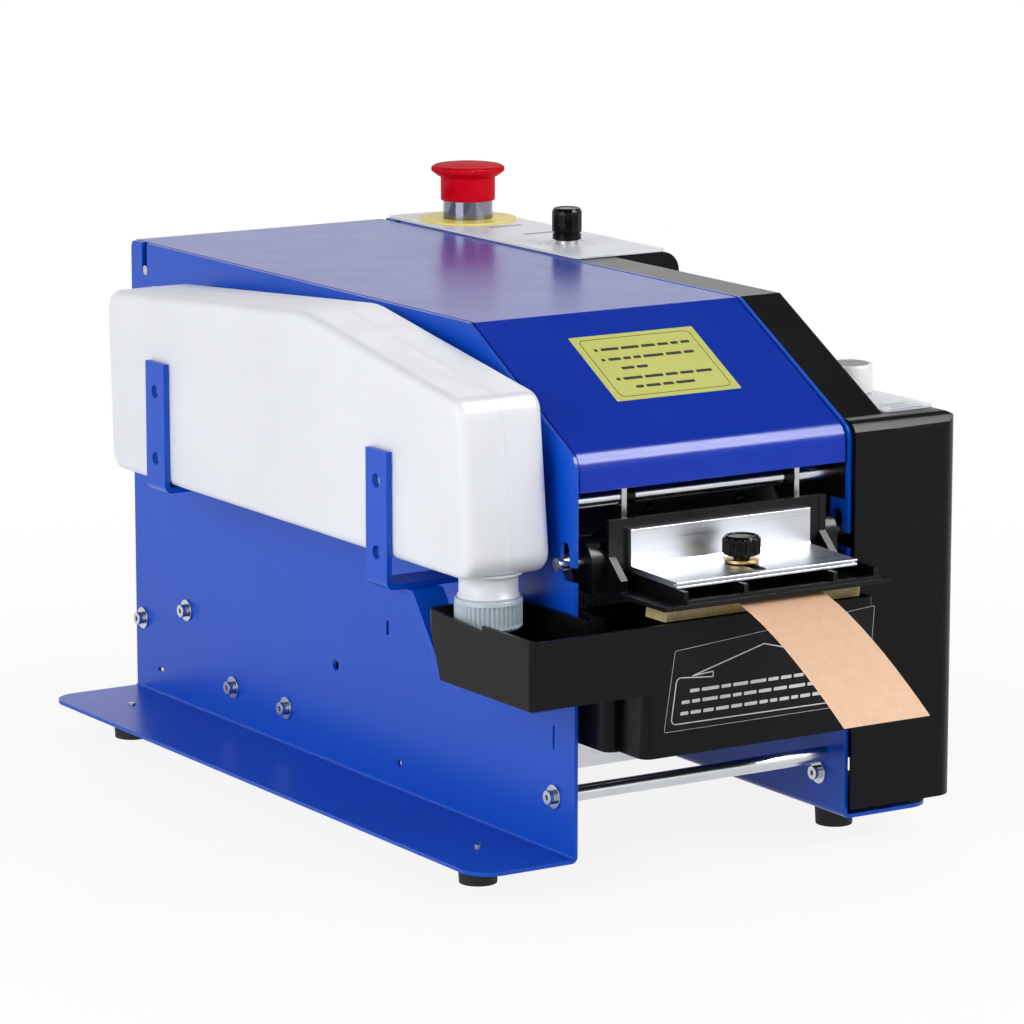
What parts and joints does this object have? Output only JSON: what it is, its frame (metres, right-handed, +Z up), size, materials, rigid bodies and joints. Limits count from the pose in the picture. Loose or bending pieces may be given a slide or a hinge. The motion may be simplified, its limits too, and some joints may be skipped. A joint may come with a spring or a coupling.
{
  "type": "gummed tape dispenser",
  "caption": "Bench gummed-tape dispenser: bent side plates, hinged cover, tape roll with motor feed and cutter, water tank with brush, side bottle, press weight and control housing",
  "frame": {"origin": "under the middle of the whole object, in the plane that the rubber feet stand on", "axes": "+X to the operator's right, +Y to the rear (the tape comes out toward -Y), +Z up"},
  "size_m": [0.2894, 0.5886, 0.304],
  "materials": {
    "blue_plate": "satin blue powder coat",
    "blue_cover": "satin blue powder coat",
    "blue_bracket": "satin blue powder coat",
    "black_housing": "matt black powder coat",
    "black_frame": "matt black coat",
    "black_plastic": "matt black",
    "knob_black": "satin black",
    "bright_steel": "bright plated",
    "steel": "ground steel",
    "aluminium": "satin aluminium",
    "panel_film": "satin silver panel",
    "brass": "turned brass",
    "rubber": "matt black rubber",
    "feed_rubber": "grey rubber",
    "tape_paper": "kraft paper",
    "core_board": "brown board",
    "bristle": "natural bristle",
    "brush_wood": "matt black",
    "bottle_plastic": "milky translucent",
    "cap_plastic": "pale grey",
    "yellow_label": "satin yellow",
    "red_plastic": "gloss red",
    "bezel_chrome": "chrome",
    "grey_plate": "light grey",
    "board_green": "green board",
    "dial_grey": "light grey"
  },
  "bodies": {
    "chassis": {"left_side_plate": "blue_plate", "right_side_plate": "blue_plate", "front_tie_rod": "bright_steel", "inner_tie_rods": "bright_steel", "roll_axles": "steel", "rod_screws": "bright_steel", "rod_washers": "bright_steel", "rubber_feet": "rubber", "foot_screws": "steel", "front_bottle_bracket": "blue_bracket", "rear_bottle_bracket": "blue_bracket", "tank_strap": "blue_bracket", "water_tank": "black_plastic", "brush_block": "brush_wood", "brush_bristles": "bristle", "guide_rod": "bright_steel", "guide_fingers": "steel", "rod_collars": "knob_black", "guard_plate": "black_frame", "guard_screws": "steel", "fixed_blade": "steel", "cutter_solenoid": "black_plastic", "feed_bearings": "black_plastic", "drive_belt": "rubber", "motor": "steel", "control_board": "board_green", "power_inlet": "black_plastic", "housing_cover": "black_housing", "top_control_panel": "panel_film", "lower_control_panel": "panel_film", "estop_ring": "yellow_label", "estop_bezel": "bezel_chrome", "speed_knob_collar": "steel", "tape_strip": "tape_paper", "tape_web": "tape_paper", "cross_plate": "grey_plate"},
    "press_frame": {"press_frame": "black_frame", "press_pivot_pins": "steel"},
    "weight_plate": {"weight_plate": "aluminium"},
    "thumbscrew": {"thumbscrew_knob": "knob_black", "thumbscrew_collar": "brass"},
    "moving_blade": {"moving_blade": "steel"},
    "feed_roller": {"feed_roller": "feed_rubber", "feed_shaft": "steel", "feed_pulley": "aluminium"},
    "motor_rotor": {"motor_pulley": "aluminium"},
    "pressure_arm": {"pressure_arm": "steel"},
    "pressure_wheel": {"pressure_wheel": "feed_rubber"},
    "tape_roll": {"tape_roll": "tape_paper", "tape_core": "core_board"},
    "front_roller": {"front_roll_roller": "black_plastic"},
    "rear_roller": {"rear_roll_roller": "black_plastic"},
    "top_cover": {"top_cover": "blue_cover", "cover_hinge_pins": "steel"},
    "estop_plunger": {"estop_stem": "steel"},
    "estop_head": {"estop_head": "red_plastic"},
    "speed_knob": {"speed_knob": "knob_black"},
    "length_dial": {"length_dial": "dial_grey"},
    "water_bottle": {"water_bottle": "bottle_plastic"},
    "bottle_cap": {"bottle_cap": "cap_plastic"}
  },
  "joints": [
    {"name": "press_frame_lift", "type": "hinge", "parent": "chassis", "child": "press_frame", "pos_m": [-0.00405, -0.14865, 0.164], "axis": [-1, 0, 0], "range_deg": [0, 22]},
    {"name": "weight_plate_slide", "type": "slide", "parent": "press_frame", "child": "weight_plate", "axis": [0, -0.9989, -0.047], "range_m": [0, 0.007]},
    {"name": "thumbscrew_turn", "type": "hinge", "parent": "press_frame", "child": "thumbscrew", "pos_m": [-0.00525, -0.18165, 0.162], "axis": [0, 0, 1], "continuous": true},
    {"name": "blade_stroke", "type": "slide", "parent": "chassis", "child": "moving_blade", "axis": [0, 0, -1], "range_m": [0, 0.004], "stiffness_N_per_m": 250, "springref_m": -0.004},
    {"name": "tape_roll_spin", "type": "hinge", "parent": "chassis", "child": "tape_roll", "pos_m": [0.00025, 0.15265, 0.133], "axis": [1, 0, 0], "continuous": true},
    {"name": "front_roller_spin", "type": "hinge", "parent": "chassis", "child": "front_roller", "pos_m": [-0.00405, 0.12375, 0.038], "axis": [1, 0, 0], "continuous": true},
    {"name": "rear_roller_spin", "type": "hinge", "parent": "chassis", "child": "rear_roller", "pos_m": [-0.00405, 0.18155, 0.038], "axis": [1, 0, 0], "continuous": true},
    {"name": "feed_roller_spin", "type": "hinge", "parent": "chassis", "child": "feed_roller", "pos_m": [0.00025, -0.09565, 0.1335], "axis": [1, 0, 0], "continuous": true},
    {"name": "motor_spin", "type": "hinge", "parent": "chassis", "child": "motor_rotor", "pos_m": [0.08575, -0.00765, 0.1335], "axis": [1, 0, 0], "continuous": true},
    {"name": "pressure_arm_lift", "type": "hinge", "parent": "chassis", "child": "pressure_arm", "pos_m": [0.00025, -0.05165, 0.178], "axis": [-1, 0, 0], "range_deg": [0, 15]},
    {"name": "pressure_wheel_spin", "type": "hinge", "parent": "pressure_arm", "child": "pressure_wheel", "pos_m": [0.00025, -0.09565, 0.1614], "axis": [1, 0, 0], "continuous": true},
    {"name": "cover_lift", "type": "hinge", "parent": "chassis", "child": "top_cover", "pos_m": [-0.00405, 0.27715, 0.2547], "axis": [-1, 0, 0], "range_deg": [0, 95]},
    {"name": "estop_press", "type": "slide", "parent": "chassis", "child": "estop_plunger", "axis": [0, 0, -1], "range_m": [0, 0.0045], "stiffness_N_per_m": 600, "springref_m": -0.004},
    {"name": "estop_twist", "type": "hinge", "parent": "estop_plunger", "child": "estop_head", "pos_m": [0.10925, 0.25435, 0.298], "axis": [0, 0, -1], "range_deg": [0, 45], "stiffness_Nm_per_rad": 0.05, "springref_deg": -11.46},
    {"name": "speed_knob_turn", "type": "hinge", "parent": "chassis", "child": "speed_knob", "pos_m": [0.10215, 0.14035, 0.278], "axis": [0, 0, -1], "range_deg": [-135, 135]},
    {"name": "length_dial_turn", "type": "hinge", "parent": "chassis", "child": "length_dial", "pos_m": [0.12055, -0.09535, 0.228], "axis": [0, 0, -1], "range_deg": [-135, 135]},
    {"name": "bottle_lift", "type": "slide", "parent": "chassis", "child": "water_bottle", "axis": [0, 0, 1], "range_m": [0, 0.1]},
    {"name": "cap_turn", "type": "hinge", "parent": "water_bottle", "child": "bottle_cap", "pos_m": [-0.11675, -0.12765, 0.14], "axis": [0, 0, 1], "continuous": true}
  ],
  "couplings": [
    {"joint": "front_roller_spin", "follows": "tape_roll_spin", "ratio": -10},
    {"joint": "rear_roller_spin", "follows": "tape_roll_spin", "ratio": -10},
    {"joint": "feed_roller_spin", "follows": "tape_roll_spin", "ratio": 6},
    {"joint": "motor_spin", "follows": "tape_roll_spin", "ratio": 6},
    {"joint": "pressure_wheel_spin", "follows": "tape_roll_spin", "ratio": -7.5}
  ]
}
